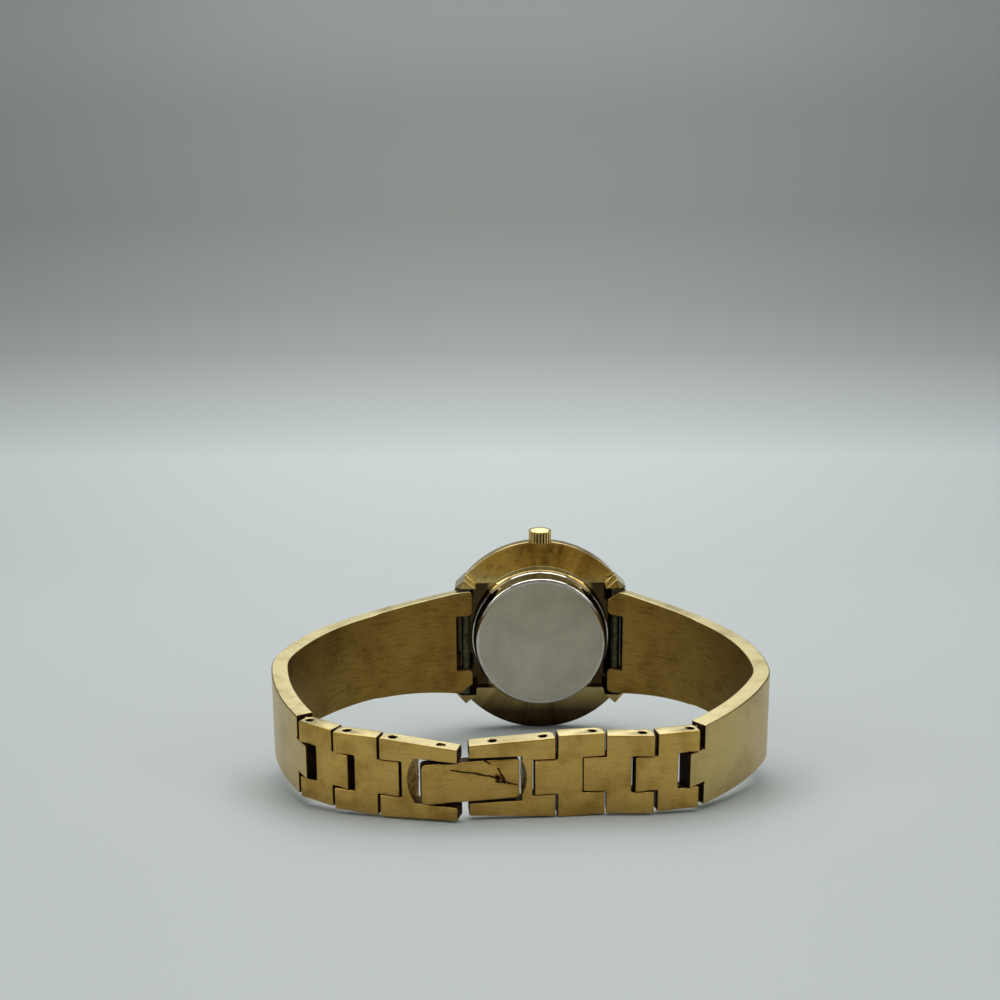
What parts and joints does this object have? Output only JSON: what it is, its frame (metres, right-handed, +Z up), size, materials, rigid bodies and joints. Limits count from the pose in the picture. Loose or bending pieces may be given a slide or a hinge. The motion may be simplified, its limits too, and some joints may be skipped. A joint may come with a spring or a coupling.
{
  "type": "wristwatch",
  "caption": "Gold-tone bangle wristwatch: round thin case with steel snap back and crown, two rigid curved arms, interlocking links and a hinged flap clasp.",
  "frame": {"origin": "middle of the footprint, on the surface that the watch lies on", "axes": "+X to the right as seen from the clasp, +Y from the clasp towards the dial, +Z up; the watch lies on its edge with the crown up, leaned forward by 10.9 degrees"},
  "size_m": [0.062, 0.057, 0.0302],
  "materials": {
    "gold_case": "polished gold plating, worn",
    "gold_band": "satin-brushed gold plating, worn",
    "gold_pin": "dulled gold plating",
    "gold_trim": "polished",
    "steel_back": "matte, finely brushed",
    "steel_works": "satin",
    "brass_works": "satin",
    "dial_white": "satin lacquer",
    "crystal": "clear, polished",
    "rubber_seal": "matte",
    "circuit_green": "matte",
    "copper_coil": "enamelled copper wire, gloss"
  },
  "bodies": {
    "case": {"mid_case": "gold_case", "bezel": "gold_case", "crystal": "crystal", "crystal_gasket": "rubber_seal", "case_back": "steel_back", "back_gasket": "rubber_seal", "crown_tube": "steel_works", "spring_bar_left": "gold_case", "spring_bar_right": "gold_case", "dial": "dial_white", "hour_markers": "gold_trim", "main_plate": "brass_works", "train_bridge": "steel_works", "bridge_screws": "steel_works", "battery_cell": "steel_works", "battery_strap": "brass_works", "circuit_block": "circuit_green", "coil": "copper_coil", "stator": "steel_works"},
    "crown_slide": {"crown_gasket": "rubber_seal"},
    "crown": {"crown": "gold_case", "stem": "steel_works"},
    "minutes": {"centre_wheel": "brass_works", "cannon_pinion": "brass_works", "minute_hand": "gold_trim"},
    "hours": {"hour_wheel": "brass_works", "hour_hand": "gold_trim"},
    "motion_work": {"minute_wheel": "brass_works"},
    "third": {"third_wheel": "brass_works"},
    "intermediate": {"intermediate_wheel": "brass_works"},
    "rotor": {"rotor": "steel_works"},
    "arm_left": {"arm_left": "gold_band"},
    "link_left_1": {"link_left_1": "gold_band", "pin_left_1": "gold_pin"},
    "link_left_2": {"link_left_2": "gold_band", "pin_left_2": "gold_pin"},
    "clasp_left": {"clasp_left": "gold_band", "pin_left_3": "gold_pin", "catch_studs": "gold_pin"},
    "arm_right": {"arm_right": "gold_band"},
    "link_right_3": {"link_right_3": "gold_band", "pin_right_4": "gold_pin"},
    "link_right_2": {"link_right_2": "gold_band", "pin_right_3": "gold_pin"},
    "link_right_1": {"link_right_1": "gold_band", "pin_right_2": "gold_pin"},
    "clasp_right": {"clasp_right": "gold_band", "pin_right_1": "gold_pin", "lever_pin": "gold_pin"},
    "lever": {"lever": "gold_band"}
  },
  "joints": [
    {"name": "crown_pull", "type": "slide", "parent": "case", "child": "crown_slide", "axis": [0, -0.1896, 0.9819], "range_m": [0, 0.0007]},
    {"name": "crown_turn", "type": "hinge", "parent": "crown_slide", "child": "crown", "pos_m": [0.00359, 0.02105, 0.02802], "axis": [0, -0.1896, 0.9819], "continuous": true},
    {"name": "minute_turn", "type": "hinge", "parent": "case", "child": "minutes", "pos_m": [0.00359, 0.02265, 0.01397], "axis": [0, -0.9819, -0.1896], "continuous": true},
    {"name": "hour_turn", "type": "hinge", "parent": "case", "child": "hours", "pos_m": [0.00359, 0.02265, 0.01397], "axis": [0, -0.9819, -0.1896], "continuous": true},
    {"name": "motion_turn", "type": "hinge", "parent": "case", "child": "motion_work", "pos_m": [0.00151, 0.02288, 0.01279], "axis": [0, -0.9819, -0.1896], "continuous": true},
    {"name": "third_turn", "type": "hinge", "parent": "case", "child": "third", "pos_m": [0.0063, 0.02284, 0.013], "axis": [0, -0.9819, -0.1896], "continuous": true},
    {"name": "intermediate_turn", "type": "hinge", "parent": "case", "child": "intermediate", "pos_m": [0.00838, 0.0225, 0.01472], "axis": [0, -0.9819, -0.1896], "continuous": true},
    {"name": "rotor_turn", "type": "hinge", "parent": "case", "child": "rotor", "pos_m": [0.00805, 0.02215, 0.01657], "axis": [0, -0.9819, -0.1896], "continuous": true},
    {"name": "arm_left_swing", "type": "hinge", "parent": "case", "child": "arm_left", "pos_m": [-0.00736, 0.0206, 0.01357], "axis": [0, -0.1896, 0.9819], "range_deg": [-35, 0.5]},
    {"name": "left_flex_1", "type": "hinge", "parent": "arm_left", "child": "link_left_1", "pos_m": [-0.02377, -0.02011, 0.00571], "axis": [0, -0.1896, 0.9819], "range_deg": [-36, 19]},
    {"name": "left_flex_2", "type": "hinge", "parent": "link_left_1", "child": "link_left_2", "pos_m": [-0.01921, -0.02312, 0.00513], "axis": [0, -0.1896, 0.9819], "range_deg": [-25, 30]},
    {"name": "left_flex_3", "type": "hinge", "parent": "link_left_2", "child": "clasp_left", "pos_m": [-0.01401, -0.02488, 0.00479], "axis": [0, -0.1896, 0.9819], "range_deg": [-13.5, 41.5]},
    {"name": "arm_right_swing", "type": "hinge", "parent": "case", "child": "arm_right", "pos_m": [0.01454, 0.0206, 0.01357], "axis": [0, 0.1896, -0.9819], "range_deg": [-35, 0.5]},
    {"name": "right_flex_4", "type": "hinge", "parent": "arm_right", "child": "link_right_3", "pos_m": [0.01859, -0.023, 0.00516], "axis": [0, 0.1896, -0.9819], "range_deg": [-41, 14]},
    {"name": "right_flex_3", "type": "hinge", "parent": "link_right_3", "child": "link_right_2", "pos_m": [0.01323, -0.02417, 0.00493], "axis": [0, 0.1896, -0.9819], "range_deg": [-23.5, 31.5]},
    {"name": "right_flex_2", "type": "hinge", "parent": "link_right_2", "child": "link_right_1", "pos_m": [0.00773, -0.02408, 0.00495], "axis": [0, 0.1896, -0.9819], "range_deg": [-1, 54]},
    {"name": "right_flex_1", "type": "hinge", "parent": "link_right_1", "child": "clasp_right", "pos_m": [0.00228, -0.02484, 0.0048], "axis": [0, 0.1896, -0.9819], "range_deg": [-12.5, 42.5]},
    {"name": "lever_open", "type": "hinge", "parent": "clasp_right", "child": "lever", "pos_m": [-0.00319, -0.02536, 0.0047], "axis": [0, -0.1896, 0.9819], "range_deg": [0, 95]}
  ],
  "couplings": [
    {"joint": "hour_turn", "follows": "minute_turn", "ratio": 0.083333},
    {"joint": "motion_turn", "follows": "minute_turn", "ratio": -0.33333},
    {"joint": "third_turn", "follows": "minute_turn", "ratio": -8},
    {"joint": "intermediate_turn", "follows": "minute_turn", "ratio": 60},
    {"joint": "rotor_turn", "follows": "minute_turn", "ratio": -180}
  ]
}
